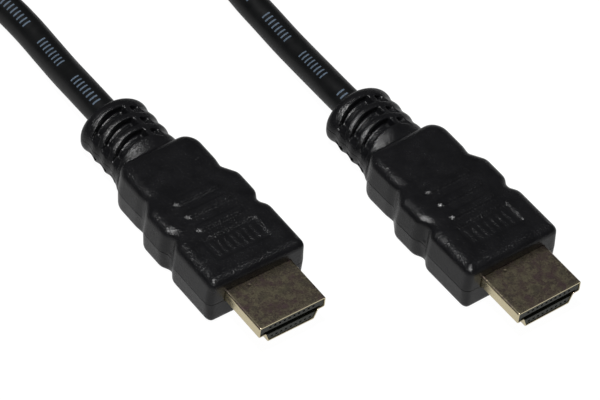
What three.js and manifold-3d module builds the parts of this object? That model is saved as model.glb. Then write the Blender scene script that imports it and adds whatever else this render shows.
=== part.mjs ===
// A video cable: two moulded 19-way plugs on the two ends of one round cord, the spare cord wound into a coil.
// Millimetres, +Z up, the floor is z = 0. A plug's own frame: x across it, y from the body's front face back
// along the cord, z up from the floor, so that the metal tip points along -y.
import * as THREE from "three";
import { mergeVertices } from "three/addons/utils/BufferGeometryUtils.js";
import Module from "manifold-3d";

// Moulded body
const bodyLength = 32.3;
const bodyHeight = 10.0;
const partingHeight = 4.9; // the plane where the two mould halves met, which also holds the plug's axis
const frontWidth = 20.5;
const middleWidth = 20.2;
const rearWidth = 17.0;
const frontWaistWidth = 18.4;
const rearWaistWidth = 16.6;
const frontEnd = 10.9; // stations along the body, from its front face
const middleStart = 14.9;
const middleEnd = 19.8;
const rearStart = 24.6;
const waistFlank = 1.5; // length of a waist's sloping side
const frontCornerRadius = 1.2;
const rearCornerRadius = 2.6;
const shoulderRadius = 1.0;
const edgeRadius = 1.3; // rounding of the top and bottom edges
const sideDraft = 0.4; // how far a side wall leans in from the parting plane to the top or bottom

// Grip bars and the plain ribbed panel on the top face
const barCount = 3;
const barLength = 9.4;
const barWidth = 1.4;
const barPitch = 3.45;
const barRise = 0.35;
const firstBarStation = 12.1;
const panelWidth = 11.3;
const panelLength = 5.2;
const panelStation = 7.0;
const panelDepth = 0.3;
const panelRibCount = 7;
const panelRibWidth = 0.6;
const panelRibPitch = 1.35;
const panelRibLength = 3.0;
const panelRibDrop = 0.08; // from the top face down to the ribs' tops

// Strain relief, moulded in one with the body: an oval sleeve with rows of slots between its ribs
const reliefLength = 13.3;
const reliefWidth = 13.5;
const reliefHeight = 8.8;
const reliefWaist = 0.3; // how much narrower the sleeve is between two ribs, on each side
const reliefEndRadius = 1.3;
const flareWidth = 14.6; // where the sleeve runs into the body
const flareLength = 1.8;
const slotRows = 3;
const slotPitch = 3.15;
const slotWidth = 1.6;
const lastSlotFromEnd = 2.8;
const slotDepth = 1.85;
const slotFrom = 17; // degrees above or below the parting plane
const slotTo = 77;

// Plug shell, stamped from sheet, narrower below a step in its sides
const shellWidth = 13.9;
const shellHeight = 4.45;
const shellWall = 0.3;
const shellReach = 10.0; // how far it stands out of the body
const shellTail = 6.0; // how far it runs inside the body
const shellSideHeight = 2.45;
const shellStepWidth = 11.2;
const shellBottomWidth = 9.7;
const shellCorner = 0.35;

// Insulator and contacts
const insulatorRecess = 0.35; // behind the shell's lip
const insulatorTail = 5.2;
const insulatorClearance = 0.2;
const tongueWidth = 11.8;
const tongueHeight = 1.5;
const tongueDepth = 8.4;
const tongueDrop = 1.2; // from the shell's top to the top of the tongue slot
const contactPitch = 1.0;
const upperContacts = 10;
const lowerContacts = 9;
const contactWidth = 0.36;
const contactThickness = 0.2;
const contactLength = 9.9;
const contactRecess = 0.4; // behind the insulator's front
const contactBow = 0.28; // how far the spring tip bows into the slot
const channelDepth = 0.45;
const channelClearance = 0.15;

// Cord, coil and ties
const cordDiameter = 5.7;
const coilCentre = [23.75, 135];
const coilTurns = 5.64;
const coilMiddleRadius = 34.2;
const coilLayers = 2;
const turnPitch = 5.9;
const tieAngles = [45, 262]; // degrees round the coil
const tieWidth = 4;
const tieThickness = 0.6;
const tieTailLength = 13;
const tieTailWidth = 2.6;
const tieTailThickness = 1.6;

const fitClearance = 0.3; // between pieces that touch

// Where the plugs lie: plug b lies beside plug a, further forward and turned by a degree or so
const plugSpacing = 39.3;
const plugAdvance = 20.4;
const plugTurn = 1.35; // degrees
const plugPlaces = [
  { letter: "a", at: [0, 0], turn: 0 },
  { letter: "b", at: [plugSpacing, -plugAdvance], turn: plugTurn },
];

// The cord's two free stretches, each from a strain relief to the coil: chosen points of its middle line
const leadRoutes = {
  a: [
    [0, 45.9, 4.9],
    [0.05, 49.5, 4.75],
    [0.3, 54, 4.2],
    [0.7, 60, 3.35],
    [1.05, 66, 2.92],
    [1.2, 72, 2.85],
    [0.9, 78.5, 2.85],
    [-0.4, 85, 2.85],
    [-2.8, 91.5, 2.9],
    [-4.8, 95.7, 3.0],
  ],
  b: [
    [38.22, 25.49, 4.9],
    [38.18, 29.09, 4.75],
    [38.43, 33.6, 4.2],
    [38.84, 39.6, 3.35],
    [39.04, 45.6, 2.92],
    [39.2, 51.6, 2.85],
    [39.35, 58.6, 2.85],
    [40.1, 66, 2.85],
    [42.4, 74, 2.95],
    [45.7, 82, 3.4],
    [49.5, 90, 4.6],
    [52.1, 95.5, 5.8],
  ],
};

const vinyl = new THREE.MeshStandardMaterial({ color: 0x1b1b1d, roughness: 0.55, metalness: 0 });
const jacket = new THREE.MeshStandardMaterial({ color: 0x1e1f21, roughness: 0.5, metalness: 0 });
const plating = new THREE.MeshStandardMaterial({ color: 0xc9bd97, roughness: 0.3, metalness: 1 });
const nylon = new THREE.MeshStandardMaterial({ color: 0x2c2e31, roughness: 0.5, metalness: 0 });
const contactGold = new THREE.MeshStandardMaterial({ color: 0xd8b45a, roughness: 0.3, metalness: 1 });
const tieVinyl = new THREE.MeshStandardMaterial({ color: 0x141416, roughness: 0.6, metalness: 0 });

const wasm = await Module();
wasm.setup();

// Joins and cuts of closed meshes
function solid(geometry) {
  const g = geometry.clone();
  g.deleteAttribute("normal");
  g.deleteAttribute("uv");
  const merged = mergeVertices(g, 1e-4);
  return new wasm.Manifold(
    new wasm.Mesh({
      numProp: 3,
      vertProperties: new Float32Array(merged.attributes.position.array),
      triVerts: new Uint32Array(merged.index.array),
    }),
  );
}

function geometryOf(manifold) {
  const mesh = manifold.getMesh();
  const g = new THREE.BufferGeometry();
  g.setAttribute("position", new THREE.BufferAttribute(new Float32Array(mesh.vertProperties), 3));
  g.setIndex(new THREE.BufferAttribute(new Uint32Array(mesh.triVerts), 1));
  g.computeVertexNormals();
  return g;
}

function boxBetween([x0, y0, z0], [x1, y1, z1]) {
  const box = new THREE.BoxGeometry(x1 - x0, y1 - y0, z1 - z0);
  return box.translate((x0 + x1) / 2, (y0 + y1) / 2, (z0 + z1) / 2);
}

// A closed shape through corners [x, y, radius], each corner rounded off
function roundedShape(corners) {
  const path = new THREE.Shape();
  corners.forEach(([x, y, radius], i) => {
    const corner = new THREE.Vector2(x, y);
    const toPrevious = new THREE.Vector2(...corners.at(i - 1)).sub(corner);
    const toNext = new THREE.Vector2(...corners[(i + 1) % corners.length]).sub(corner);
    const bend = Math.PI - Math.abs(toPrevious.angleTo(toNext));
    const room = 0.49 * Math.min(toPrevious.length(), toNext.length());
    const trim = Math.min(radius * Math.tan(bend / 2), room);
    const start = corner.clone().add(toPrevious.setLength(trim));
    const end = corner.clone().add(toNext.setLength(trim));
    if (i) path.lineTo(start.x, start.y);
    else path.moveTo(start.x, start.y);
    path.quadraticCurveTo(x, y, end.x, end.y);
  });
  path.closePath();
  return path;
}

const mirrored = (half) => [...half, ...half.map(([x, y, radius]) => [-x, y, radius]).reverse()];

// Runs a shape drawn across the plug, in x and z, from one station along it to another
function alongPlug(shape, from, to, curveSegments = 3) {
  const g = new THREE.ExtrudeGeometry(shape, { depth: to - from, bevelEnabled: false, curveSegments });
  return g.rotateX(Math.PI / 2).translate(0, to, 0);
}

// The body's outline in plan, with its two waists
function bodyPlan() {
  const half = [
    [frontWidth / 2, 0, frontCornerRadius],
    [frontWidth / 2, frontEnd, shoulderRadius],
    [frontWaistWidth / 2, frontEnd + waistFlank, shoulderRadius],
    [frontWaistWidth / 2, middleStart - waistFlank, shoulderRadius],
    [middleWidth / 2, middleStart, shoulderRadius],
    [middleWidth / 2, middleEnd, shoulderRadius],
    [rearWaistWidth / 2, middleEnd + 1.8 * waistFlank, 2 * shoulderRadius],
    [rearWaistWidth / 2, rearStart - waistFlank, shoulderRadius],
    [rearWidth / 2, rearStart, shoulderRadius],
    [rearWidth / 2, bodyLength, rearCornerRadius],
  ];
  return roundedShape(mirrored(half));
}

// The levels at which the plan is drawn in: rounded bottom edge, parting plane, rounded top edge
function bodyLevels() {
  const turns = [0, 45, 90].map(THREE.MathUtils.degToRad);
  const edge = turns.map((t) => ({
    z: edgeRadius * (1 - Math.cos(t)),
    inset: edgeRadius * (1 - Math.sin(t)),
  }));
  const top = edge.map(({ z, inset }) => ({ z: bodyHeight - z, inset })).reverse();
  const upperHeight = bodyHeight - partingHeight;
  return [...edge, { z: partingHeight, inset: 0 }, ...top].map(({ z, inset }) => {
    const above = z - partingHeight;
    return { z, inset, lean: sideDraft * Math.abs(above) / (above > 0 ? upperHeight : partingHeight) };
  });
}

function mouldedBody() {
  const levels = bodyLevels();
  const steps = levels.length - 1;
  const g = new THREE.ExtrudeGeometry(bodyPlan(), { depth: steps, steps, bevelEnabled: false, curveSegments: 3 });
  const p = g.attributes.position;
  const middle = bodyLength / 2;
  for (let i = 0; i < p.count; i++) {
    const { z, inset, lean } = levels[Math.round(p.getZ(i))];
    const x = p.getX(i) * (1 - (inset + lean) / (frontWidth / 2));
    const y = middle + (p.getY(i) - middle) * (1 - inset / middle);
    p.setXYZ(i, x, y, z);
  }
  return solid(g);
}

const reliefEnd = bodyLength + reliefLength;
const slotStations = Array.from({ length: slotRows }, (_, i) => reliefEnd - lastSlotFromEnd - i * slotPitch);

// The sleeve is turned as a round one, then flattened to its oval
const reliefFlattening = reliefHeight / reliefWidth;
const flattened = (g) => g.scale(1, 1, reliefFlattening).translate(0, 0, partingHeight);

function reliefSleeve() {
  const crest = reliefWidth / 2;
  const root = bodyLength - 2 * rearCornerRadius;
  const firstCrest = slotStations.at(-1) - slotPitch / 2;
  const profile = [
    [0, root],
    [flareWidth / 2, root],
    [flareWidth / 2, bodyLength - 0.2 * flareLength],
    [crest + 0.2 * (flareWidth / 2 - crest), bodyLength + 0.6 * flareLength],
  ];
  for (let i = 0; i <= 2 * slotRows; i++) {
    profile.push([crest - (i % 2) * reliefWaist, firstCrest + (i * slotPitch) / 2]);
  }
  for (const turn of [45, 90].map(THREE.MathUtils.degToRad)) {
    const drop = reliefEndRadius * (1 - Math.cos(turn));
    profile.push([crest - drop, reliefEnd - reliefEndRadius * (1 - Math.sin(turn))]);
  }
  profile.push([0, reliefEnd]);
  return solid(flattened(new THREE.LatheGeometry(profile.map((p) => new THREE.Vector2(...p)), 24)));
}

// The slots between the ribs: a part ring in each quarter, at each row
function reliefSlots() {
  const outer = reliefWidth;
  const inner = reliefWidth / 2 - slotDepth;
  return slotStations.flatMap((station) =>
    [
      [slotFrom, slotTo],
      [180 - slotTo, 180 - slotFrom],
      [180 + slotFrom, 180 + slotTo],
      [360 - slotTo, 360 - slotFrom],
    ].map(([from, to]) => {
      const [start, end] = [from, to].map(THREE.MathUtils.degToRad);
      const ring = new THREE.Shape();
      ring.absarc(0, 0, outer, start, end, false);
      ring.absarc(0, 0, inner, end, start, true);
      return solid(flattened(alongPlug(ring, station - slotWidth / 2, station + slotWidth / 2)));
    }),
  );
}

// A straight bar with round ends, lying across the plug
function gripBar(station) {
  const r = barWidth / 2;
  const run = barLength / 2 - r;
  const bar = new THREE.Shape();
  bar.absarc(run, 0, r, -Math.PI / 2, Math.PI / 2, false);
  bar.absarc(-run, 0, r, Math.PI / 2, (3 * Math.PI) / 2, false);
  const g = new THREE.ExtrudeGeometry(bar, { depth: 2 * barRise, bevelEnabled: false, curveSegments: 4 });
  return solid(g.translate(0, station, bodyHeight - barRise));
}

function panelRecess() {
  return solid(
    boxBetween(
      [-panelWidth / 2, panelStation - panelLength / 2, bodyHeight - panelDepth],
      [panelWidth / 2, panelStation + panelLength / 2, bodyHeight + panelDepth],
    ),
  );
}

function panelRibs() {
  return Array.from({ length: panelRibCount }, (_, i) => {
    const x = (i - (panelRibCount - 1) / 2) * panelRibPitch;
    return solid(
      boxBetween(
        [x - panelRibWidth / 2, panelStation - panelRibLength / 2, bodyHeight - 2 * panelDepth],
        [x + panelRibWidth / 2, panelStation + panelRibLength / 2, bodyHeight - panelRibDrop],
      ),
    );
  });
}

// The shell's outline in x and z, moved inwards by an offset
const shellTop = partingHeight + shellHeight / 2;

function shellOutline(offset) {
  const run = (shellStepWidth - shellBottomWidth) / 2;
  const drop = shellHeight - shellSideHeight;
  const slant = (offset * (Math.hypot(run, drop) - run)) / drop;
  const corner = Math.max(shellCorner - offset, 0.1);
  const step = shellTop - shellSideHeight + offset;
  const half = [
    [shellWidth / 2 - offset, shellTop - offset, corner],
    [shellWidth / 2 - offset, step, corner],
    [shellStepWidth / 2 - slant, step, shellCorner],
    [shellBottomWidth / 2 - slant, shellTop - shellHeight + offset, corner],
  ];
  return roundedShape(mirrored(half));
}

function overmould() {
  const pocket = alongPlug(shellOutline(-fitClearance), -1, shellTail + fitClearance);
  let body = mouldedBody().add(reliefSleeve());
  for (const slot of reliefSlots()) body = body.subtract(slot);
  for (let i = 0; i < barCount; i++) body = body.add(gripBar(firstBarStation + i * barPitch));
  body = body.subtract(panelRecess());
  for (const rib of panelRibs()) body = body.add(rib);
  return geometryOf(body.subtract(solid(pocket)));
}

function shell() {
  const outside = alongPlug(shellOutline(0), -shellReach, shellTail);
  const inside = alongPlug(shellOutline(shellWall), -shellReach - 1, shellTail + 1);
  return geometryOf(solid(outside).subtract(solid(inside)));
}

// The two rows of contacts: above the tongue slot and below it
const insulatorFront = -shellReach + insulatorRecess;
const contactTip = insulatorFront + contactRecess;
const contactTail = contactTip + contactLength;
const tongueTop = shellTop - tongueDrop;
const contactRows = [
  { count: upperContacts, wall: tongueTop, away: 1 },
  { count: lowerContacts, wall: tongueTop - tongueHeight, away: -1 },
].map((row) => ({
  ...row,
  places: Array.from({ length: row.count }, (_, i) => (i - (row.count - 1) / 2) * contactPitch),
  roof: row.wall + row.away * channelDepth,
}));

function insulator() {
  const outline = shellOutline(shellWall + insulatorClearance);
  let block = solid(alongPlug(outline, insulatorFront, insulatorTail));
  const slot = boxBetween(
    [-tongueWidth / 2, insulatorFront - 1, tongueTop - tongueHeight],
    [tongueWidth / 2, insulatorFront + tongueDepth, tongueTop],
  );
  block = block.subtract(solid(slot));
  const halfChannel = contactWidth / 2 + channelClearance;
  for (const { places, roof, wall, away } of contactRows) {
    const [low, high] = [wall - (away * tongueHeight) / 4, roof].sort((p, q) => p - q);
    for (const x of places) {
      const channel = boxBetween(
        [x - halfChannel, insulatorFront - 1, low],
        [x + halfChannel, contactTail + channelClearance, high],
      );
      block = block.subtract(solid(channel));
    }
  }
  return geometryOf(block);
}

// A contact: a thin strip whose tip bows towards the slot, drawn from the side and run across by its width
function contact({ roof, away }) {
  const base = roof - away * channelClearance;
  const line = [
    [contactTail, 0],
    [contactTip + 0.45 * contactLength, 0],
    [contactTip + 0.2 * contactLength, contactBow],
    [contactTip + 0.12 * contactLength, contactBow],
    [contactTip, 0.2 * contactBow],
  ];
  const outer = line.map(([y, bow]) => new THREE.Vector2(y, base - away * bow));
  const inner = line.map(([y, bow]) => new THREE.Vector2(y, base - away * (bow + contactThickness)));
  const side = new THREE.Shape([...outer, ...inner.reverse()]);
  const g = new THREE.ExtrudeGeometry(side, { depth: contactWidth, bevelEnabled: false });
  const turned = new THREE.Matrix4().makeBasis(
    new THREE.Vector3(0, 1, 0),
    new THREE.Vector3(0, 0, 1),
    new THREE.Vector3(1, 0, 0),
  );
  return g.applyMatrix4(turned).translate(-contactWidth / 2, 0, 0);
}

function plug({ letter, at, turn }) {
  const group = new THREE.Group();
  const piece = (name, geometry, material, x = 0) => {
    const mesh = new THREE.Mesh(geometry, material);
    mesh.name = name + "_" + letter;
    mesh.position.x = x;
    group.add(mesh);
  };
  piece("overmould", overmould(), vinyl);
  piece("shell", shell(), plating);
  piece("insulator", insulator(), nylon);
  contactRows.forEach((row, r) =>
    row.places.forEach((x, i) => piece(`contact_${r ? "lower" : "upper"}_${i + 1}`, contact(row), contactGold, x)),
  );
  group.position.set(...at, 0);
  group.rotation.z = THREE.MathUtils.degToRad(turn);
  return group;
}

function cordLead(letter) {
  const path = new THREE.CatmullRomCurve3(leadRoutes[letter].map((p) => new THREE.Vector3(...p)), false, "centripetal");
  const section = new THREE.Shape();
  section.absarc(0, 0, cordDiameter / 2, 0, 2 * Math.PI);
  const g = new THREE.ExtrudeGeometry(section, {
    steps: Math.ceil(path.getLength() / cordDiameter),
    curveSegments: 5,
    extrudePath: path,
  });
  const mesh = new THREE.Mesh(g, jacket);
  mesh.name = "cord_lead_" + letter;
  return mesh;
}

// The coil as one ring of its outer shape, standing on its ties
const coilHalfWidth = (turnPitch * coilTurns) / coilLayers / 2 + cordDiameter / 2;
const coilHeight = (coilLayers - 1) * turnPitch + cordDiameter;
const coilBottom = tieThickness + fitClearance;

// The coil's section, measured from its middle radius, grown by an offset
function coilSection(offset) {
  const half = [
    [coilHalfWidth + offset, coilBottom - offset, cordDiameter / 2 + offset],
    [coilHalfWidth + offset, coilBottom + coilHeight + offset, cordDiameter / 2 + offset],
  ];
  return roundedShape(mirrored(half));
}

function cordCoil() {
  const section = coilSection(0).getPoints(3);
  const profile = section.map(({ x, y }) => new THREE.Vector2(coilMiddleRadius + x, y));
  const g = new THREE.LatheGeometry(profile, 32).rotateX(Math.PI / 2);
  const mesh = new THREE.Mesh(g, jacket);
  mesh.name = "cord_coil";
  mesh.position.set(...coilCentre, 0);
  return mesh;
}

// A tie: a closed band round the coil's section, with its twisted ends standing out at the side
function coilTie(angle, i) {
  const round = solid(alongPlug(coilSection(fitClearance + tieThickness), -tieWidth / 2, tieWidth / 2));
  const band = round.subtract(solid(alongPlug(coilSection(fitClearance), -tieWidth, tieWidth)));
  const outside = coilHalfWidth + fitClearance + tieThickness / 2;
  const middle = coilBottom + coilHeight / 2;
  const tail = boxBetween(
    [outside, -tieTailWidth / 2, middle - tieTailThickness / 2],
    [outside + tieTailLength, tieTailWidth / 2, middle + tieTailThickness / 2],
  );
  const mesh = new THREE.Mesh(geometryOf(band.add(solid(tail))), tieVinyl);
  mesh.name = "coil_tie_" + (i + 1);
  const turn = THREE.MathUtils.degToRad(angle);
  mesh.rotation.z = turn;
  mesh.position.set(
    coilCentre[0] + coilMiddleRadius * Math.cos(turn),
    coilCentre[1] + coilMiddleRadius * Math.sin(turn),
    0,
  );
  return mesh;
}

const cable = new THREE.Group();
const plugs = new THREE.Group();
plugs.add(...plugPlaces.map(plug));
cable.add(plugs, cordLead("a"), cordLead("b"), cordCoil(), ...tieAngles.map(coilTie));

// The origin lies on the floor under the middle of the two plugs
const middle = new THREE.Box3().setFromObject(plugs, true).getCenter(new THREE.Vector3());
cable.position.set(-middle.x, -middle.y, 0);

export default cable;
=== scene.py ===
import math

import bmesh
import bpy
from mathutils import Matrix, Vector


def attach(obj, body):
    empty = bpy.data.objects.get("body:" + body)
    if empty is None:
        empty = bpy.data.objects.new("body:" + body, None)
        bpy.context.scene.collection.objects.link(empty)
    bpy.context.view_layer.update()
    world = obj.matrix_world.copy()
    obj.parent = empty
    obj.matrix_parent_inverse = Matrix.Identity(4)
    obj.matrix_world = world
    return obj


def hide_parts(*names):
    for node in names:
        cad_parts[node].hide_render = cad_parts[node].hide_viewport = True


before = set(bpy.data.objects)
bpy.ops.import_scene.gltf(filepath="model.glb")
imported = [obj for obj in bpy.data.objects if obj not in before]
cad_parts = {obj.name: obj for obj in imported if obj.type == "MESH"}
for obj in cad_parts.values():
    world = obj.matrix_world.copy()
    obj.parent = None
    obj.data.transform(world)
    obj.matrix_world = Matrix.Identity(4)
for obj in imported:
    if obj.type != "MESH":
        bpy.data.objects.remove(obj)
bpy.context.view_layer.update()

mm = 0.001
scene = bpy.context.scene
scene.view_settings.view_transform = "Standard"  # plain product-photo tones, with a white ground

# Where the plugs lie in the row frame, in mm, and their turn in degrees.
# A plug's own frame has its axis along y and its tip towards -y.
plugPlaces = {"a": ((-19.634, -7.52), 0), "b": ((39.3 - 19.634, -20.4 - 7.52), 1.35)}
midHeight = 4.9  # a plug's middle plane over the floor, in mm, where its mould halves part


def plugMatrix(letter):
    at, turn = plugPlaces[letter]
    place = Matrix.Translation((at[0] * mm, at[1] * mm, 0)) @ Matrix.Rotation(math.radians(turn), 4, "Z")
    return place @ Matrix.Scale(mm, 4)


def rowPoint(x, y, z):  # from plug a's own frame, in mm, to the row frame, in metres
    return plugMatrix("a") @ Vector((x, y, z))


# Camera: a long lens from above, as the two plugs' standard shells give it
view = {"target": (20.44, 15.31, 0), "ahead": (0.6557, 0.7551), "elevation": 47.457, "roll": 6.991,
        "distance": 873.185, "lens": 300, "sensor": 36, "nearest": 10}


def addCamera():
    lift = math.radians(view["elevation"])
    ahead = Vector((view["ahead"][0] * math.cos(lift), view["ahead"][1] * math.cos(lift), -math.sin(lift)))
    right = ahead.cross(Vector((0, 0, 1))).normalized()
    up = right.cross(ahead)
    roll = math.radians(view["roll"])
    tiltedRight = right * math.cos(roll) + up * math.sin(roll)
    tiltedUp = up * math.cos(roll) - right * math.sin(roll)
    place = Matrix((tiltedRight, tiltedUp, -ahead)).transposed().to_4x4()
    place.translation = rowPoint(*view["target"]) - ahead * view["distance"] * mm
    camera = bpy.data.objects.new("camera", bpy.data.cameras.new("camera"))
    camera.data.lens = view["lens"]
    camera.data.sensor_width = view["sensor"]
    camera.data.clip_start = view["nearest"] * mm
    camera.matrix_world = place
    scene.collection.objects.link(camera)
    scene.camera = camera


addCamera()
print("camera set")


# Making meshes

def objectFrom(name, bm):
    mesh = bpy.data.meshes.new(name)
    bm.to_mesh(mesh)
    bm.free()
    piece = bpy.data.objects.new(name, mesh)
    scene.collection.objects.link(piece)
    return piece


def loft(name, rings, closed=False):  # one closed skin through rings of as many points each
    bm = bmesh.new()
    rows = [[bm.verts.new(point) for point in ring] for ring in rings]
    pairs = list(zip(rows, rows[1:]))
    if closed:
        pairs.append((rows[-1], rows[0]))
    for low, high in pairs:
        for i in range(len(low)):
            j = (i + 1) % len(low)
            bm.faces.new((low[i], low[j], high[j], high[i]))
    if not closed:
        bm.faces.new(rows[0])
        bm.faces.new(rows[-1])
    bmesh.ops.recalc_face_normals(bm, faces=bm.faces)
    return objectFrom(name, bm)


def block(name, low, high):
    (x0, y0, z0), (x1, y1, z1) = low, high
    return loft(name, [[(x0, y0, z), (x1, y0, z), (x1, y1, z), (x0, y1, z)] for z in (z0, z1)])


def finished(piece):  # turns live modifiers into plain mesh
    bpy.context.view_layer.update()
    deps = bpy.context.evaluated_depsgraph_get()
    ready = piece.evaluated_get(deps)
    mesh = bpy.data.meshes.new_from_object(ready, preserve_all_data_layers=True, depsgraph=deps)
    piece.modifiers.clear()
    piece.data = mesh
    mesh.name = piece.name
    return piece


def joined(name, parts):
    bm = bmesh.new()
    for part in parts:
        bm.from_mesh(part.data)
        bpy.data.objects.remove(part)
    return objectFrom(name, bm)


def cutBy(piece, cutter):
    cut = piece.modifiers.new("cut", "BOOLEAN")
    cut.operation = "DIFFERENCE"
    cut.solver = "EXACT"
    cut.object = cutter
    finished(piece)
    bpy.data.objects.remove(cutter)
    return piece


def smoothShaded(piece, angle=180):
    piece.data.polygons.foreach_set("use_smooth", [True] * len(piece.data.polygons))
    if angle < 180:
        piece.data.set_sharp_from_angle(angle=math.radians(angle))
    return piece


def addNode(tree, kind, sockets=None, **settings):
    node = tree.nodes.new(kind)
    for name, value in settings.items():
        setattr(node, name, value)
    for key, value in (sockets or {}).items():
        if isinstance(value, bpy.types.NodeSocket):
            tree.links.new(value, node.inputs[key])
        else:
            node.inputs[key].default_value = value
    return node


def newTree(name, inputs):  # a geometry tree with named inputs
    tree = bpy.data.node_groups.new(name, "GeometryNodeTree")
    tree.interface.new_socket("Geometry", in_out="INPUT", socket_type="NodeSocketGeometry")
    for label, kind in inputs.items():
        tree.interface.new_socket(label, in_out="INPUT", socket_type=kind)
    tree.interface.new_socket("Geometry", in_out="OUTPUT", socket_type="NodeSocketGeometry")
    return tree, addNode(tree, "NodeGroupInput"), addNode(tree, "NodeGroupOutput")


def endTree(tree, given, out, geometry):
    real = addNode(tree, "GeometryNodeRealizeInstances", {"Geometry": geometry})
    painted = addNode(tree, "GeometryNodeSetMaterial",
                      {"Geometry": real.outputs[0], "Material": given.outputs["Material"]})
    tree.links.new(painted.outputs[0], out.inputs[0])


def useTree(piece, tree, values):
    modifier = piece.modifiers.new(tree.name, "NODES")
    modifier.node_group = tree
    for socket in tree.interface.items_tree:
        if socket.in_out == "INPUT" and socket.name in values:
            modifier[socket.identifier] = values[socket.name]
    return finished(piece)


def rowTree():  # copies of a shape at even steps
    tree, given, out = newTree("row", {"Count": "NodeSocketInt", "Step": "NodeSocketVector",
                                       "Material": "NodeSocketMaterial"})
    line = addNode(tree, "GeometryNodeMeshLine",
                   {"Count": given.outputs["Count"], "Offset": given.outputs["Step"]}, mode="OFFSET").outputs[0]
    copies = addNode(tree, "GeometryNodeInstanceOnPoints",
                     {"Points": line, "Instance": given.outputs["Geometry"]}).outputs[0]
    endTree(tree, given, out, copies)
    return tree


evenRow = rowTree()


# Colours and materials. Each pattern's cell, each depth and the seam are in mm.

def linear(hexColour):
    parts = [int(hexColour[i:i + 2], 16) / 255 for i in (1, 3, 5)]
    return [c / 12.92 if c <= 0.04045 else ((c + 0.055) / 1.055) ** 2.4 for c in parts] + [1]


def perMetre(cell):  # the texture scale that gives cells of that size
    return 1 / (cell * mm)


def newMaterial(name):
    material = bpy.data.materials.new(name)
    material.use_nodes = True
    tree = material.node_tree
    shader = tree.nodes["Principled BSDF"]
    place = addNode(tree, "ShaderNodeTexCoord").outputs["Object"]
    return material, tree, shader, place


# the groove colour is painted shade, laid along the line where the mould halves meet
vinylLook = {"deep": "#0d0d0f", "worn": "#121214", "grooveShade": "#020202", "roughness": (0.22, 0.28),
             "ior": 1.5, "shine": 0.4, "mottle": 3.0, "grain": 0.2, "pits": 0.32, "pitShare": 0.6,
             "depth": 0.075, "strength": 0.8, "seamShade": 0.15}


def sparkErodedVinyl():  # PVC from a spark-eroded mould: satin black whose grain breaks a highlight into sparks
    look = vinylLook
    material, tree, shader, place = newMaterial("sparkErodedVinyl")
    mottle = addNode(tree, "ShaderNodeTexNoise",
                     {"Vector": place, "Scale": perMetre(look["mottle"]), "Detail": 3}).outputs[0]
    share = addNode(tree, "ShaderNodeMapRange", {0: mottle, 1: 0.35, 2: 0.65}).outputs[0]
    colour = addNode(tree, "ShaderNodeMix", {0: share, 6: linear(look["deep"]), 7: linear(look["worn"])},
                     data_type="RGBA").outputs[2]
    height = addNode(tree, "ShaderNodeSeparateXYZ", {0: place}).outputs[2]
    above = addNode(tree, "ShaderNodeMath", {0: height, 1: midHeight * mm}, operation="SUBTRACT").outputs[0]
    off = addNode(tree, "ShaderNodeMath", {0: above}, operation="ABSOLUTE").outputs[0]
    seamShade = addNode(tree, "ShaderNodeMapRange",  # painted shade: the fine groove where the mould halves met is darkened
                   {0: off, 1: 0.6 * look["seamShade"] * mm, 2: look["seamShade"] * mm, 3: 1.0, 4: 0.0}).outputs[0]
    skin = addNode(tree, "ShaderNodeMix", {0: seamShade, 6: colour, 7: linear(look["grooveShade"])}, data_type="RGBA")
    tree.links.new(skin.outputs[2], shader.inputs["Base Color"])
    low, high = look["roughness"]
    gloss = addNode(tree, "ShaderNodeMapRange", {0: mottle, 1: 0.3, 2: 0.7, 3: low, 4: high})
    tree.links.new(gloss.outputs[0], shader.inputs["Roughness"])
    # the grain of the real moulding is about 0.1 mm, drawn coarser here so that it shows
    fineness = {"Vector": place, "Scale": perMetre(look["grain"]), "Detail": 2, "Roughness": 0.6}
    grain = addNode(tree, "ShaderNodeTexNoise", fineness).outputs[0]
    pits = addNode(tree, "ShaderNodeTexVoronoi",
                   {"Vector": place, "Scale": perMetre(look["pits"])}).outputs["Distance"]
    relief = addNode(tree, "ShaderNodeMath", {0: pits, 1: look["pitShare"], 2: grain},
                     operation="MULTIPLY_ADD").outputs[0]
    bump = addNode(tree, "ShaderNodeBump",
                   {"Strength": look["strength"], "Distance": look["depth"] * mm, "Height": relief})
    tree.links.new(bump.outputs[0], shader.inputs["Normal"])
    shader.inputs["IOR"].default_value = look["ior"]
    shader.inputs["Specular IOR Level"].default_value = look["shine"]
    return material


jacketLook = {"colour": "#090a0b", "roughness": (0.34, 0.44), "ior": 1.5, "shine": 0.35,
              "ripple": 2.4, "fleck": 0.25, "fleckShare": 0.25, "depth": 0.08, "strength": 0.3,
              # the printed row: its place and half its height as shares of the way round, and its turn
              "print": "#5b6978", "printAt": 0.694, "halfRow": 0.045, "printTurn": 0.062,
              # half a tick's pitch in mm, and half a group and half a gap in such steps
              "step": 0.5, "group": 12.0, "gap": 4.0}


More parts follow.
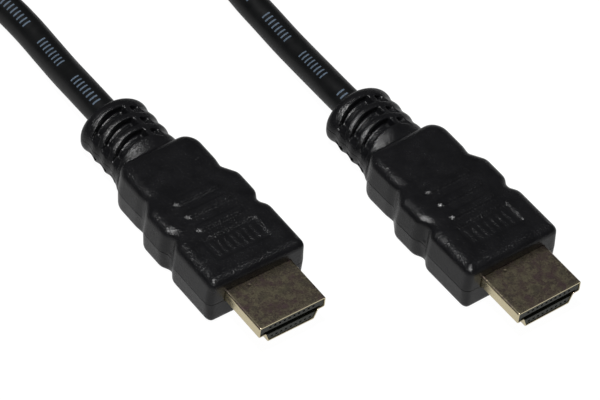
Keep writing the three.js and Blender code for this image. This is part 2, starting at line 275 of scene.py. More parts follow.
def extrudedVinyl():  # extruded PVC jacket: smoother than the moulding, faintly rippled, with printed ticks
    look = jacketLook
    material, tree, shader, place = newMaterial("extrudedVinyl")
    along = addNode(tree, "ShaderNodeAttribute", attribute_name="along").outputs["Fac"]
    around = addNode(tree, "ShaderNodeAttribute", attribute_name="around").outputs["Fac"]
    ripple = addNode(tree, "ShaderNodeTexNoise",
                     {"Vector": place, "Scale": perMetre(look["ripple"]), "Detail": 2}).outputs[0]
    fleck = addNode(tree, "ShaderNodeTexNoise",
                    {"Vector": place, "Scale": perMetre(look["fleck"]), "Detail": 2}).outputs[0]
    steps = addNode(tree, "ShaderNodeMath", {0: along, 1: look["step"] * mm}, operation="DIVIDE").outputs[0]
    phase = addNode(tree, "ShaderNodeMath", {0: steps, 1: 1.0}, operation="PINGPONG").outputs[0]
    tick = addNode(tree, "ShaderNodeMapRange", {0: phase, 1: 0.62, 2: 0.72}).outputs[0]
    group = addNode(tree, "ShaderNodeMath", {0: steps, 1: look["group"]}, operation="PINGPONG").outputs[0]
    inGroup = addNode(tree, "ShaderNodeMapRange", {0: group, 1: look["gap"], 2: look["gap"] + 0.1}).outputs[0]
    at = addNode(tree, "ShaderNodeMath", {0: along, 1: look["printTurn"], 2: look["printAt"]},
                 operation="MULTIPLY_ADD").outputs[0]
    side = addNode(tree, "ShaderNodeMath", {0: around, 1: at}, operation="SUBTRACT").outputs[0]
    away = addNode(tree, "ShaderNodeMath", {0: side}, operation="ABSOLUTE").outputs[0]
    inRow = addNode(tree, "ShaderNodeMapRange",
                    {0: away, 1: look["halfRow"], 2: look["halfRow"] + 0.006, 3: 1.0, 4: 0.0}).outputs[0]
    ink = addNode(tree, "ShaderNodeMapRange", {0: fleck, 1: 0.3, 2: 0.6, 3: 0.55, 4: 1.0}).outputs[0]
    for share in (tick, inGroup, inRow):
        ink = addNode(tree, "ShaderNodeMath", {0: ink, 1: share}, operation="MULTIPLY").outputs[0]
    skin = addNode(tree, "ShaderNodeMix", {0: ink, 6: linear(look["colour"]), 7: linear(look["print"])},
                   data_type="RGBA")
    tree.links.new(skin.outputs[2], shader.inputs["Base Color"])
    low, high = look["roughness"]
    gloss = addNode(tree, "ShaderNodeMapRange", {0: ripple, 1: 0.3, 2: 0.7, 3: low, 4: high})
    tree.links.new(gloss.outputs[0], shader.inputs["Roughness"])
    height = addNode(tree, "ShaderNodeMath", {0: fleck, 1: look["fleckShare"], 2: ripple},
                     operation="MULTIPLY_ADD").outputs[0]
    bump = addNode(tree, "ShaderNodeBump",
                   {"Strength": look["strength"], "Distance": look["depth"] * mm, "Height": height})
    tree.links.new(bump.outputs[0], shader.inputs["Normal"])
    shader.inputs["IOR"].default_value = look["ior"]
    shader.inputs["Specular IOR Level"].default_value = look["shine"]
    return material


platingLook = {"bright": "#faedc6", "dull": "#8e7f76", "violet": "#9f8089", "green": "#979083",
               "blotch": 1.1, "tint": 2.4, "fine": 0.3, "fineShare": 0.5, "roughness": (0.34, 0.2),
               "depth": 0.05, "strength": 0.3}


def paleGoldPlating():  # thin gold flash over nickel on stamped brass: pale, semi-bright, faintly clouded
    look = platingLook
    material, tree, shader, place = newMaterial("paleGoldPlating")
    cells = {"Vector": place, "Scale": perMetre(look["blotch"]), "Detail": 4, "Roughness": 0.6}
    blotch = addNode(tree, "ShaderNodeTexNoise", cells).outputs[0]
    tints = addNode(tree, "ShaderNodeTexNoise",
                    {"Vector": place, "Scale": perMetre(look["tint"]), "Detail": 3}).outputs["Color"]
    tint = addNode(tree, "ShaderNodeSeparateXYZ", {0: tints}).outputs[1]
    fine = addNode(tree, "ShaderNodeTexNoise",
                   {"Vector": place, "Scale": perMetre(look["fine"]), "Detail": 3}).outputs[0]
    cloud = addNode(tree, "ShaderNodeMath", {0: fine, 1: look["fineShare"], 2: blotch},
                    operation="MULTIPLY_ADD").outputs[0]
    kept = addNode(tree, "ShaderNodeMapRange", {0: cloud, 1: 0.62, 2: 0.9}).outputs[0]
    normal = addNode(tree, "ShaderNodeTexCoord").outputs["Normal"]
    facing = addNode(tree, "ShaderNodeSeparateXYZ", {0: normal}).outputs[2]
    # painted light and shade: the sides are kept at the bright tone, and only the upward faces take the dull
    # tone and the tints
    paintedTopShade = addNode(tree, "ShaderNodeMapRange", {0: facing, 1: 0.3, 2: 0.8}).outputs[0]
    paintedSideLight = addNode(tree, "ShaderNodeMath", {0: 1.0, 1: paintedTopShade}, operation="SUBTRACT").outputs[0]
    bright = addNode(tree, "ShaderNodeMath", {0: kept, 1: paintedSideLight}, operation="MAXIMUM").outputs[0]
    colour = addNode(tree, "ShaderNodeMix", {0: bright, 6: linear(look["dull"]), 7: linear(look["bright"])},
                     data_type="RGBA").outputs[2]
    warm = addNode(tree, "ShaderNodeMapRange", {0: tint, 1: 0.5, 2: 0.66, 3: 0.0, 4: 0.6}).outputs[0]
    cool = addNode(tree, "ShaderNodeMapRange", {0: tint, 1: 0.34, 2: 0.48, 3: 0.5, 4: 0.0}).outputs[0]
    for patches, name in ((warm, "violet"), (cool, "green")):
        share = addNode(tree, "ShaderNodeMath", {0: patches, 1: paintedTopShade}, operation="MULTIPLY").outputs[0]
        colour = addNode(tree, "ShaderNodeMix", {0: share, 6: colour, 7: linear(look[name])},
                         data_type="RGBA").outputs[2]
    tree.links.new(colour, shader.inputs["Base Color"])
    low, high = look["roughness"]
    gloss = addNode(tree, "ShaderNodeMapRange", {0: blotch, 1: 0.3, 2: 0.7, 3: low, 4: high})
    tree.links.new(gloss.outputs[0], shader.inputs["Roughness"])
    bump = addNode(tree, "ShaderNodeBump",
                   {"Strength": look["strength"], "Distance": look["depth"] * mm, "Height": cloud})
    tree.links.new(bump.outputs[0], shader.inputs["Normal"])
    shader.inputs["Metallic"].default_value = 1.0
    return material


nylonLook = {"dark": "#34372f", "pale": "#4b4e45", "fleck": 0.4, "roughness": (0.35, 0.5),
             "depth": 0.03, "strength": 0.2}


def glassFilledNylon():  # moulded insulator: dull grey-green, flecked by the glass fibre in it
    look = nylonLook
    material, tree, shader, place = newMaterial("glassFilledNylon")
    fleck = addNode(tree, "ShaderNodeTexNoise",
                    {"Vector": place, "Scale": perMetre(look["fleck"]), "Detail": 3}).outputs[0]
    share = addNode(tree, "ShaderNodeMapRange", {0: fleck, 1: 0.35, 2: 0.65}).outputs[0]
    colour = addNode(tree, "ShaderNodeMix", {0: share, 6: linear(look["dark"]), 7: linear(look["pale"])},
                     data_type="RGBA")
    tree.links.new(colour.outputs[2], shader.inputs["Base Color"])
    low, high = look["roughness"]
    gloss = addNode(tree, "ShaderNodeMapRange", {0: fleck, 1: 0.3, 2: 0.7, 3: low, 4: high})
    tree.links.new(gloss.outputs[0], shader.inputs["Roughness"])
    bump = addNode(tree, "ShaderNodeBump",
                   {"Strength": look["strength"], "Distance": look["depth"] * mm, "Height": fleck})
    tree.links.new(bump.outputs[0], shader.inputs["Normal"])
    return material


goldLook = {"deep": "#b98d3c", "pale": "#e0bd6c", "wear": 0.8, "roughness": (0.22, 0.4)}


def hardGold():  # gold-plated spring contact: warm and bright, dulled a little by wiping marks
    look = goldLook
    material, tree, shader, place = newMaterial("hardGold")
    wear = addNode(tree, "ShaderNodeTexNoise",
                   {"Vector": place, "Scale": perMetre(look["wear"]), "Detail": 3}).outputs[0]
    colour = addNode(tree, "ShaderNodeMix", {0: wear, 6: linear(look["deep"]), 7: linear(look["pale"])},
                     data_type="RGBA")
    tree.links.new(colour.outputs[2], shader.inputs["Base Color"])
    low, high = look["roughness"]
    gloss = addNode(tree, "ShaderNodeMapRange", {0: wear, 1: 0.3, 2: 0.7, 3: low, 4: high})
    tree.links.new(gloss.outputs[0], shader.inputs["Roughness"])
    shader.inputs["Metallic"].default_value = 1.0
    return material


tieLook = {"deep": "#0b0b0c", "pale": "#1a1a1c", "crease": 1.1, "roughness": (0.32, 0.5),
           "depth": 0.05, "strength": 0.3}


def tieVinyl():  # thin vinyl over a wire: plain black with a slight shine, creased where it is twisted
    look = tieLook
    material, tree, shader, place = newMaterial("tieVinyl")
    crease = addNode(tree, "ShaderNodeTexNoise",
                     {"Vector": place, "Scale": perMetre(look["crease"]), "Detail": 3}).outputs[0]
    colour = addNode(tree, "ShaderNodeMix", {0: crease, 6: linear(look["deep"]), 7: linear(look["pale"])},
                     data_type="RGBA")
    tree.links.new(colour.outputs[2], shader.inputs["Base Color"])
    low, high = look["roughness"]
    gloss = addNode(tree, "ShaderNodeMapRange", {0: crease, 1: 0.3, 2: 0.7, 3: low, 4: high})
    tree.links.new(gloss.outputs[0], shader.inputs["Roughness"])
    bump = addNode(tree, "ShaderNodeBump",
                   {"Strength": look["strength"], "Distance": look["depth"] * mm, "Height": crease})
    tree.links.new(bump.outputs[0], shader.inputs["Normal"])
    return material


vinyl = sparkErodedVinyl()
jacket = extrudedVinyl()
plating = paleGoldPlating()
nylon = glassFilledNylon()
gold = hardGold()
tieSkin = tieVinyl()
print("materials made")


# The cord: from plug a's strain relief round the coil to plug b's, in plug a's own frame

cordSizes = {"diameter": 5.7, "length": 1.39, "sides": 24, "step": 1.6,  # the length is in metres
             "coilCentre": (23.75, 135), "coilOuter": 42.5, "turns": 5.64, "pitch": 5.9, "pointsPerTurn": 36,
             "enters": 205, "lowLayer": 3.5, "layerRise": 5.9, "riseTurn": 60}
leadPoints = {
    "a": [(0, 45.2, 4.9), (0, 45.9, 4.9), (0.05, 49.5, 4.75), (0.3, 54, 4.2), (0.7, 60, 3.35), (1.05, 66, 2.92),
          (1.2, 72, 2.85), (0.9, 78.5, 2.85), (-0.4, 85, 2.85), (-2.8, 91.5, 2.9), (-4.8, 95.7, 3.0),
          (-8.1, 102.8, 3.2), (-11.4, 109.8, 3.4)],
    "b": [(38.24, 24.79, 4.9), (38.22, 25.49, 4.9), (38.18, 29.09, 4.75), (38.43, 33.6, 4.2),
          (38.84, 39.6, 3.35), (39.04, 45.6, 2.92), (39.2, 51.6, 2.85), (39.35, 58.6, 2.85), (40.1, 66, 2.85),
          (42.4, 74, 2.95), (45.7, 82, 3.4), (49.5, 90, 4.6), (52.1, 95.5, 5.8), (55.5, 102.8, 7.7),
          (58.9, 109.9, 8.9)],
}


def coilPoints():  # a spiral inwards on the floor and outwards again on top of it
    s = cordSizes
    count = math.ceil(s["pointsPerTurn"] * s["turns"])
    points = []
    for i in range(count + 1):
        t = i / count
        angle = math.radians(s["enters"] - 360 * s["turns"] * t)
        radius = s["coilOuter"] - s["pitch"] * s["turns"] * min(t, 1 - t)
        climb = (t - 0.5) * 360 * s["turns"] / s["riseTurn"] + 0.5
        climb = min(max(climb, 0), 1)
        x = s["coilCentre"][0] + radius * math.cos(angle)
        y = s["coilCentre"][1] + radius * math.sin(angle)
        points.append((x, y, s["lowLayer"] + s["layerRise"] * climb * climb * (3 - 2 * climb)))
    return points


def smoothLine(points, step):  # a smooth curve through the points, at even steps
    line = [Vector(p) for p in points]
    line = [2 * line[0] - line[1]] + line + [2 * line[-1] - line[-2]]
    fine = []
    for p0, p1, p2, p3 in zip(line, line[1:], line[2:], line[3:]):
        pieces = max(2, math.ceil((p2 - p1).length / (0.25 * step)))
        k1, k2, k3 = ((b - a).length ** 0.5 for a, b in ((p0, p1), (p1, p2), (p2, p3)))
        m1 = (p2 - p1) + k2 * ((p1 - p0) / k1 - (p2 - p0) / (k1 + k2))
        m2 = (p2 - p1) + k2 * ((p3 - p2) / k3 - (p3 - p1) / (k2 + k3))
        for i in range(pieces):
            t = i / pieces
            fine.append((2 * t**3 - 3 * t**2 + 1) * p1 + (t**3 - 2 * t**2 + t) * m1
                        + (3 * t**2 - 2 * t**3) * p2 + (t**3 - t**2) * m2)
    fine.append(line[-2])
    even, gone = [fine[0]], 0
    for a, b in zip(fine, fine[1:]):
        gone += (b - a).length
        if gone >= step:
            even.append(b)
            gone = 0
    even[-1] = fine[-1]
    return even


def tubeTree():  # a round skin along a line, with its length and its turn kept as attributes
    tree, given, out = newTree("tube", {"Radius": "NodeSocketFloat", "Sides": "NodeSocketInt",
                                        "Material": "NodeSocketMaterial"})
    line = addNode(tree, "GeometryNodeMeshToCurve", {0: given.outputs["Geometry"]}).outputs[0]
    length = addNode(tree, "GeometryNodeSplineParameter").outputs["Length"]
    line = addNode(tree, "GeometryNodeStoreNamedAttribute",
                   {"Geometry": line, "Name": "along", "Value": length}, domain="POINT").outputs[0]
    circle = addNode(tree, "GeometryNodeCurvePrimitiveCircle",
                     {"Resolution": given.outputs["Sides"], "Radius": given.outputs["Radius"]}).outputs[0]
    turn = addNode(tree, "GeometryNodeSplineParameter").outputs["Factor"]
    circle = addNode(tree, "GeometryNodeStoreNamedAttribute",
                     {"Geometry": circle, "Name": "around", "Value": turn}, domain="POINT").outputs[0]
    skin = addNode(tree, "GeometryNodeCurveToMesh",
                   {"Curve": line, "Profile Curve": circle, "Fill Caps": True}).outputs[0]
    endTree(tree, given, out, skin)
    return tree


def addCord():
    route = leadPoints["a"] + coilPoints() + list(reversed(leadPoints["b"]))
    line = [rowPoint(*p) for p in smoothLine(route, cordSizes["step"])]
    bm = bmesh.new()
    verts = [bm.verts.new(p) for p in line]
    for a, b in zip(verts, verts[1:]):
        bm.edges.new((a, b))
    cord = objectFrom("cord", bm)
    radius = cordSizes["diameter"] / 2 * mm
    useTree(cord, tubeTree(), {"Radius": radius, "Sides": cordSizes["sides"], "Material": jacket})
    return smoothShaded(cord, 60), line


cord, cordLine = addCord()
print("cord laid,", round(sum((b - a).length for a, b in zip(cordLine, cordLine[1:])), 4), "m")


# The two ties round the coil, each a wired band with its ends twisted round each other

tieSizes = {"angles": (45, 262), "middle": 34.2, "halfWidth": 11.17, "bottom": 0.9, "height": 11.6, "gap": 0.08,
            "width": 4.0, "thickness": 0.5, "wire": 0.35, "crest": 0.12,
            # the twist: its length, its turns, its reach, how flat it lies and half a strand's section
            "tail": 12.6, "twists": 3.2, "strand": 0.62, "flatness": 0.55, "section": (0.62, 0.42), "rings": 61}


def bandOutline(grown):  # the coil's section in x and z, from its middle radius, grown outwards
    s = tieSizes
    half, low, high = s["halfWidth"] + grown, s["bottom"] - grown, s["bottom"] + s["height"] + grown
    radius = cordSizes["diameter"] / 2 + grown
    points = []
    for cx, cz, start in ((half - radius, high - radius, 0), (radius - half, high - radius, 90),
                          (radius - half, low + radius, 180), (half - radius, low + radius, 270)):
        for i in range(11):
            turn = math.radians(start + 9 * i)
            points.append(Vector((cx + radius * math.cos(turn), 0, cz + radius * math.sin(turn))))
    return points


def tieBand():
    s = tieSizes
    inner = bandOutline(s["gap"])
    outer = bandOutline(s["gap"] + s["thickness"])
    crest = bandOutline(s["gap"] + s["thickness"] + s["crest"])
    edge, foot, top = s["width"] / 2, s["wire"] * 1.6, s["wire"] * 0.6
    rings = []
    for grown, y in ((inner, edge), (outer, edge), (outer, foot), (crest, top),
                     (crest, -top), (outer, -foot), (outer, -edge), (inner, -edge)):
        rings.append([point + Vector((0, y, 0)) for point in grown])
    return loft("band", rings, closed=True)


def tieStrand(side):
    s = tieSizes
    start = s["halfWidth"] + s["gap"]
    centre = s["bottom"] + s["height"] / 2
    rings = []
    for i in range(s["rings"]):
        t = i / (s["rings"] - 1)
        turn = math.radians(side + 360 * s["twists"] * t)
        reach = s["strand"] * min(1, 0.35 + 2.5 * t)  # the strands part where they leave the band
        rise = reach * s["flatness"] * math.sin(turn)
        middle = Vector((start + s["tail"] * t, reach * math.cos(turn), centre + rise))
        ring = []
        for j in range(10):
            way = 2 * math.pi * j / 10
            flat = Vector((0, s["section"][0] * math.cos(way), s["section"][1] * math.sin(way)))
            ring.append(middle + Matrix.Rotation(turn * 0.5, 3, "X") @ flat)
        rings.append(ring)
    return loft("strand", rings)


def addTie(number, angle):
    tie = joined("coilTie" + str(number), [tieBand(), tieStrand(0), tieStrand(180)])
    turn = math.radians(angle)
    x, y = cordSizes["coilCentre"]
    at = rowPoint(x + tieSizes["middle"] * math.cos(turn), y + tieSizes["middle"] * math.sin(turn), 0)
    tie.data.transform(Matrix.Translation(at) @ Matrix.Rotation(turn, 4, "Z") @ Matrix.Scale(mm, 4))
    tie.data.materials.append(tieSkin)
    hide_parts("coil_tie_" + str(number))
    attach(tie, "root")
    return smoothShaded(tie, 50)


ties = [addTie(i + 1, angle) for i, angle in enumerate(tieSizes["angles"])]
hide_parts("cord_lead_a", "cord_coil", "cord_lead_b")
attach(cord, "root")
print("ties made")


# The moulded bodies

bodySizes = {"height": 10.0, "edge": 1.4, "topInset": 2.0, "draft": 0.4,
             # half widths along the body, each with its station and the radius of its corner
             "outline": [(10.25, 0, 1.4), (10.25, 10.9, 2.2), (9.2, 12.4, 2.2), (9.2, 13.4, 2.2),
                         (10.1, 14.9, 2.2), (10.1, 19.8, 2.2), (8.3, 22.5, 3.0), (8.3, 23.1, 3.0),
                         (8.5, 24.6, 3.0), (8.5, 32.1, 3.2)],
             "bars": 3, "barLength": 9.4, "barWidth": 1.4, "barPitch": 3.45, "barRise": 0.28, "firstBar": 12.1,
             "panel": (11.3, 5.2, 7.0, 0.24),  # its width, its length, its middle's station and its depth
             "ribs": 7, "ribWidth": 0.6, "ribLength": 3.0, "ribPitch": 1.35, "ribDrop": 0.15,
             "gate": (13.0, 0.75, (-9.32, -8.5)),  # the moulding gate's station, radius and reach
             "voxel": 0.19, "smoothing": 2, "seamWidth": 0.16, "seamDepth": 0.15}
reliefSizes = {"start": 30, "meets": 32.1, "end": 45.6, "halfWidth": 6.75, "endRadius": 1.3, "waist": 0.3,
               # its height above and below the middle against its width, and how square its lower half is
               "flattening": 8.8 / 13.5, "belly": 9.4 / 13.5, "square": 2.8,
               # the neck flares towards the body, and its top sinks
               "flare": 7.3, "neckDip": 0.24, "neckFrom": 31.8, "neckTo": 35.4,
               # how the sleeve's end and the slots bow back at the sides, in mm per square mm
               "endBow": 0.018, "slotBow": 0.045,
               "slots": (42.5, 39.35, 36.2), "slotWidth": 1.9, "slotDepth": 2.3,
               # where the slots run round the sleeve, in degrees
               "arcs": ((50, 66), (76, 161), (195, 212), (222, 284), (294, 310))}
shellSizes = {"width": 13.9, "height": 4.45, "wall": 0.3, "reach": 10.0, "tail": 6.0, "sideHeight": 2.45,
              "stepWidth": 11.2, "bottomWidth": 9.7, "corner": 0.42, "stepCorner": 0.3, "leastCorner": 0.12,
              "leadIn": 0.1, "dimple": (-2.65, -0.9, 0.42, 0.05)}  # the dimple's place, radius and depth


def roundedOutline(corners, segments):
    points = []
    for i, (x, y, radius) in enumerate(corners):
        here = Vector((x, y))
        back = Vector(corners[i - 1][:2]) - here
        ahead = Vector(corners[(i + 1) % len(corners)][:2]) - here
        half = back.angle(ahead) / 2
        trim = min(radius / math.tan(half), 0.49 * back.length, 0.49 * ahead.length)
        start, end = here + back.normalized() * trim, here + ahead.normalized() * trim
        centre = here + (back.normalized() + ahead.normalized()).normalized() * trim / math.cos(half)
        first, last = start - centre, end - centre
        sweep = first.angle_signed(last)
        for k in range(segments + 1):
            points.append(centre + Matrix.Rotation(-sweep * k / segments, 2) @ first)
    return points


def mirroredCorners(half):
    return half + [(-x, y, r) for x, y, r in reversed(half)]


def inwardNormals(points):
    normals = []
    for i, point in enumerate(points):
        along = points[(i + 1) % len(points)] - points[i - 1]
        normals.append(Vector((-along.y, along.x)).normalized())
    return normals


def bodyBlock():
    s = bodySizes
    plan = roundedOutline(mirroredCorners(s["outline"]), 8)
    inward = inwardNormals(plan)
    arc = [math.radians(10 * i) for i in range(10)]
    low = [(s["edge"] * (1 - math.cos(t)), s["edge"] * (1 - math.sin(t))) for t in arc]
    wide = s["topInset"] / s["edge"]  # the top edges are rounded off wider than they are high
    levels = low + [(midHeight, 0)] + [(s["height"] - z, wide * inset) for z, inset in reversed(low)]
    rings = []
    for z, inset in levels:
        above = z - midHeight
        lean = s["draft"] * abs(above) / (s["height"] - midHeight if above > 0 else midHeight)
        rings.append([(p.x + n.x * (inset + lean), p.y + n.y * inset, z) for p, n in zip(plan, inward)])
    return loft("body", rings)


def reliefPoint(radius, y, angle, bow):
    s = reliefSizes
    x, z = radius * math.cos(angle), radius * math.sin(angle)
    if z < 0:  # the lower half is squarer than an oval
        power = s["square"]
        fuller = (abs(math.cos(angle)) ** power + abs(math.sin(angle)) ** power) ** (-1 / power)
        x, z = x * fuller, z * fuller
    share = min(max((y - s["neckFrom"]) / (s["neckTo"] - s["neckFrom"]), 0), 1)
    tall = s["flattening"] * (1 - s["neckDip"] * (1 - share) ** 1.5) if z > 0 else s["belly"]
    return (x, y - bow * x * x * share, midHeight + z * tall)


def reliefSleeve():
    s = reliefSizes
    crest, pitch = s["halfWidth"], s["slots"][0] - s["slots"][1]
    firstCrest = s["slots"][-1] - pitch / 2
    profile = [(s["flare"], s["start"]), (s["flare"], s["meets"])]
    for i in range(1, 9):  # the neck
        t = i / 8
        y = s["meets"] + (firstCrest - s["meets"]) * t
        profile.append((crest + (s["flare"] - crest) * (1 - t) ** 2, y))
    for i in range(1, 25):  # one wave for each row of slots
        wave = (1 - math.cos(i / 8 * 2 * math.pi)) / 2
        profile.append((crest - s["waist"] * wave, firstCrest + i * pitch / 8))
    for i in range(9):  # the rounded end
        turn = math.radians(90 * i / 8)
        y = s["end"] - s["endRadius"] * (1 - math.sin(turn))
        profile.append((crest - s["endRadius"] * (1 - math.cos(turn)), y))
    rings = [[reliefPoint(r, y, 2 * math.pi * i / 96, s["endBow"]) for i in range(96)] for r, y in profile]
    return loft("sleeve", rings)


def reliefSlots():
    s = reliefSizes
    cutters = []
    for station in s["slots"]:
        near, far = station - s["slotWidth"] / 2, station + s["slotWidth"] / 2
        low, high = s["halfWidth"] - s["slotDepth"], s["halfWidth"] + 2
        corners = ((low, near), (high, near), (high, far), (low, far))
        for start, end in s["arcs"]:
            steps = math.ceil((end - start) / 7)
            turns = [math.radians(start + (end - start) * k / steps) for k in range(steps + 1)]
            rings = [[reliefPoint(r, y, turn, s["slotBow"]) for r, y in corners] for turn in turns]
            cutters.append(loft("slot", rings))
    return joined("slots", cutters)


def gripBar():  # a bar with round ends and a softened top
    s = bodySizes
    radius = s["barWidth"] / 2
    run = s["barLength"] / 2 - radius
    top = s["height"] + s["barRise"]
    rings = []
    for z, inset in ((s["height"] - 0.5, 0), (top - 0.15, 0), (top - 0.04, 0.06), (top, 0.2)):
        ring = []
        for k in range(24):
            turn = 2 * math.pi * (k + 0.5) / 24
            side = run if math.cos(turn) > 0 else -run
            ring.append((side + (radius - inset) * math.cos(turn),
                         s["firstBar"] + (radius - inset) * math.sin(turn), z))
        rings.append(ring)
    return loft("bars", rings)


def panelRib():
    s = bodySizes
    left = -(s["ribs"] - 1) / 2 * s["ribPitch"]
    station = s["panel"][2]
    return block("ribs", (left - s["ribWidth"] / 2, station - s["ribLength"] / 2, s["height"] - 0.8),
                 (left + s["ribWidth"] / 2, station + s["ribLength"] / 2, s["height"] - s["ribDrop"]))


def mouldingGate():
    station, radius, reach = bodySizes["gate"]
    turns = [2 * math.pi * i / 16 for i in range(16)]
    return loft("gate", [[(x, station + radius * math.cos(t), midHeight + radius * math.sin(t)) for t in turns]
                         for x in reach])


def shellOutline(offset):  # the shell's section in x and z, moved inwards
    s = shellSizes
    run = (s["stepWidth"] - s["bottomWidth"]) / 2
    drop = s["height"] - s["sideHeight"]
    slant = offset * (math.hypot(run, drop) - run) / drop
    top = midHeight + s["height"] / 2
    step = top - s["sideHeight"] + offset
    side = s["width"] / 2 - offset
    corner = max(s["corner"] - offset, s["leastCorner"])
    half = [(side, top - offset, corner), (side, step, corner),
            (s["stepWidth"] / 2 - slant, step, s["stepCorner"]),
            (s["bottomWidth"] / 2 - slant, top - s["height"] + offset, corner)]
    return roundedOutline(mirroredCorners(half), 6)


def shellRing(offset, y):
    return [(p.x, y, p.y) for p in shellOutline(offset)]


def placed(piece, letter, finish, slot, *nodes):  # a plug's piece in its place, in the stead of the nodes
    piece.data.transform(plugMatrix(letter))
    piece.data.materials.clear()
    piece.data.materials.append(finish)
    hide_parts(*nodes)
    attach(piece, "root")
    return piece


def cutSeam(piece):  # the fine groove that the mould halves left round the moulding
    s = bodySizes
    bm = bmesh.new()
    bm.from_mesh(piece.data)
    for off in (-0.5, 0, 0.5):
        level = midHeight + off * s["seamWidth"]
        whole = list(bm.verts) + list(bm.edges) + list(bm.faces)
        bmesh.ops.bisect_plane(bm, geom=whole, plane_co=(0, 0, level), plane_no=(0, 0, 1), dist=0.01)
    bm.normal_update()
    for vert in bm.verts:
        if abs(vert.co.z - midHeight) < 0.011 and abs(vert.normal.z) < 0.7:
            inward = Vector((vert.normal.x, vert.normal.y, 0)).normalized()
            vert.co -= inward * s["seamDepth"]
    bm.to_mesh(piece.data)
    bm.free()


def addOvermould(letter):
    s = bodySizes
    body = cutBy(bodyBlock(), loft("pocket", [shellRing(-0.05, y) for y in (-1, shellSizes["tail"] + 0.1)]))
    width, length, station, depth = s["panel"]
    recess = block("recess", (-width / 2, station - length / 2, s["height"] - depth),
                   (width / 2, station + length / 2, s["height"] + 1))
    body = cutBy(body, recess)
    sleeve = cutBy(reliefSleeve(), reliefSlots())
    bars = useTree(gripBar(), evenRow, {"Count": s["bars"], "Step": (0, s["barPitch"], 0), "Material": vinyl})
    ribs = useTree(panelRib(), evenRow, {"Count": s["ribs"], "Step": (s["ribPitch"], 0, 0), "Material": vinyl})
    moulding = joined("overmould" + letter.upper(), [body, sleeve, bars, ribs, mouldingGate()])
    skin = moulding.modifiers.new("skin", "REMESH")
    skin.mode = "VOXEL"
    skin.voxel_size = s["voxel"]
    soften = moulding.modifiers.new("soften", "SMOOTH")
    soften.factor = 0.5
    soften.iterations = s["smoothing"]
    finished(moulding)
    cutSeam(moulding)
    return smoothShaded(placed(moulding, letter, vinyl, "vinyl_body", "overmould_" + letter))


for letter in plugPlaces:
    moulding = addOvermould(letter)
    print("overmould", letter, "made,", len(moulding.data.polygons), "faces")


# The stamped shells

def addShell(letter):
    s = shellSizes
    tip = -s["reach"]
    outside = [(s["leadIn"], tip), (s["leadIn"] * 0.4, tip + 0.04), (0, tip + 0.12), (0, tip + 0.5),
               (0, s["tail"])]
    inside = [(s["wall"], s["tail"]), (s["wall"], tip + 0.12), (s["wall"] - 0.03, tip)]
    rings = [shellRing(offset, y) for offset, y in outside + inside]
    shell = loft("shell" + letter.upper(), rings, closed=True)
    x, y, radius, depth = s["dimple"]
    ballRadius = (radius**2 + depth**2) / (2 * depth)
    ball = bmesh.new()
    bmesh.ops.create_uvsphere(ball, u_segments=48, v_segments=48, radius=ballRadius)
    bmesh.ops.translate(ball, verts=ball.verts, vec=(x, y, midHeight + s["height"] / 2 - depth + ballRadius))
    cutBy(shell, objectFrom("dimple", ball))
    smoothShaded(shell, 40)
    even = shell.modifiers.new("even", "WEIGHTED_NORMAL")  # keeps the flat faces flat to the eye
    even.keep_sharp = True
    finished(shell)
    return placed(shell, letter, plating, "plated_shell", "shell_" + letter)


for letter in plugPlaces:
    addShell(letter)
print("shells made")


# The insulators and their contacts

insulatorSizes = {"recess": 0.15, "tail": 5.2, "gap": 0.05,
                  "slotWidth": 11.8, "slotDepth": 8.4, "slotLow": 4.33, "slotHigh": 5.42,
                  "pitch": 1.0, "holeWidth": 0.46, "holeHeight": 0.38, "holeDepth": 1.3,
                  "upper": (10, 6.05), "lower": (9, 3.58)}  # holes in a row, and the row's height
contactSizes = {"width": 0.36, "thickness": 0.2, "length": 8.6, "recess": 1.6, "bow": 0.17, "sunk": 0.05,
                # the strip's line from its root to its tip, as shares of its length and of its bow
                "line": ((1, 0), (0.45, 0), (0.2, 1), (0.12, 1), (0, 0.2))}


def addInsulator(letter):
    s = insulatorSizes
    front = s["recess"] - shellSizes["reach"]
    rings = [shellRing(shellSizes["wall"] + s["gap"], y) for y in (front, s["tail"])]
    insulator = loft("insulator" + letter.upper(), rings)
    half = s["slotWidth"] / 2
    slot = block("slot", (-half, front - 1, s["slotLow"]), (half, front + s["slotDepth"], s["slotHigh"]))
    cutBy(insulator, slot)
    for count, height in (s["upper"], s["lower"]):
        first = -(count - 1) / 2 * s["pitch"]
        hole = block("holes", (first - s["holeWidth"] / 2, front - 1, height - s["holeHeight"] / 2),
                     (first + s["holeWidth"] / 2, front + s["holeDepth"], height + s["holeHeight"] / 2))
        row = {"Count": count, "Step": (s["pitch"], 0, 0), "Material": nylon}
        cutBy(insulator, useTree(hole, evenRow, row))
    return placed(insulator, letter, nylon, "insulator", "insulator_" + letter)


def addContacts(letter):  # spring strips along the slot's roof and floor, bowed towards its middle
    s, around = contactSizes, insulatorSizes
    tip = around["recess"] - shellSizes["reach"] + s["recess"]
    strips = []
    for wall, away, count in ((around["slotHigh"] + s["sunk"], -1, around["upper"][0]),
                              (around["slotLow"] - s["sunk"], 1, around["lower"][0])):
        back = [(tip + t * s["length"], wall + away * share * s["bow"]) for t, share in s["line"]]
        face = [(y, z + away * s["thickness"]) for y, z in reversed(back)]
        first = -(count - 1) / 2 * around["pitch"]
        edges = (first - s["width"] / 2, first + s["width"] / 2)
        strip = loft("strip", [[(x, y, z) for y, z in back + face] for x in edges])
        row = {"Count": count, "Step": (around["pitch"], 0, 0), "Material": gold}
        strips.append(useTree(strip, evenRow, row))
    contacts = joined("contacts" + letter.upper(), strips)
    nodes = [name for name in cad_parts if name.startswith("contact") and name.endswith("_" + letter)]
    return placed(contacts, letter, gold, "contact", *nodes)


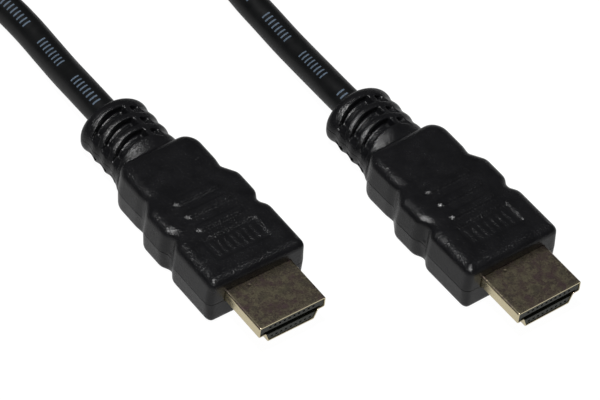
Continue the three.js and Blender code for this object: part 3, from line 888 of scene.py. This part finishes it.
for letter in plugPlaces:
    smoothShaded(addInsulator(letter), 30)
    smoothShaded(addContacts(letter), 30)
print("insulators and contacts made")


# Floor and studio light

# The floor and the world are white to the camera, and light the cable more dimly than that.
# The key light's place, the floor and the light's size are in metres.
studio = {"floor": "#3a3a3a", "floorSize": 6, "glow": 0.44, "seenGlow": 0.98, "world": 0.062, "seenWorld": 1.0,
          "key": 7.5, "keySize": 0.12, "keyAt": (-0.18, -0.05, 0.8)}


def addFloor():
    bm = bmesh.new()
    bmesh.ops.create_grid(bm, x_segments=1, y_segments=1, size=studio["floorSize"])
    floor = objectFrom("floor", bm)
    material, tree, shader, place = newMaterial("paperSweep")
    shader.inputs["Base Color"].default_value = linear(studio["floor"])
    shader.inputs["Roughness"].default_value = 0.9
    shader.inputs["Emission Color"].default_value = linear("#ffffff")
    seen = addNode(tree, "ShaderNodeLightPath").outputs["Is Camera Ray"]
    glow = addNode(tree, "ShaderNodeMapRange", {0: seen, 3: studio["glow"], 4: studio["seenGlow"]})
    tree.links.new(glow.outputs[0], shader.inputs["Emission Strength"])
    floor.data.materials.append(material)


def addWorld():
    world = bpy.data.worlds.new("studio")
    world.use_nodes = True
    tree = world.node_tree
    background = tree.nodes["Background"]
    seen = addNode(tree, "ShaderNodeLightPath").outputs["Is Camera Ray"]
    strength = addNode(tree, "ShaderNodeMapRange", {0: seen, 3: studio["world"], 4: studio["seenWorld"]})
    tree.links.new(strength.outputs[0], background.inputs["Strength"])
    background.inputs["Color"].default_value = (1, 1, 1, 1)
    scene.world = world


def addKeyLight():  # one softbox overhead, aimed at the middle of the row
    light = bpy.data.lights.new("key", "AREA")
    light.shape = "SQUARE"
    light.size = studio["keySize"]
    light.energy = studio["key"]
    lamp = bpy.data.objects.new("key", light)
    lamp.location = studio["keyAt"]
    lamp.rotation_euler = (-Vector(studio["keyAt"])).to_track_quat("-Z", "Y").to_euler()
    scene.collection.objects.link(lamp)


addFloor()
addWorld()
addKeyLight()
print("studio set")
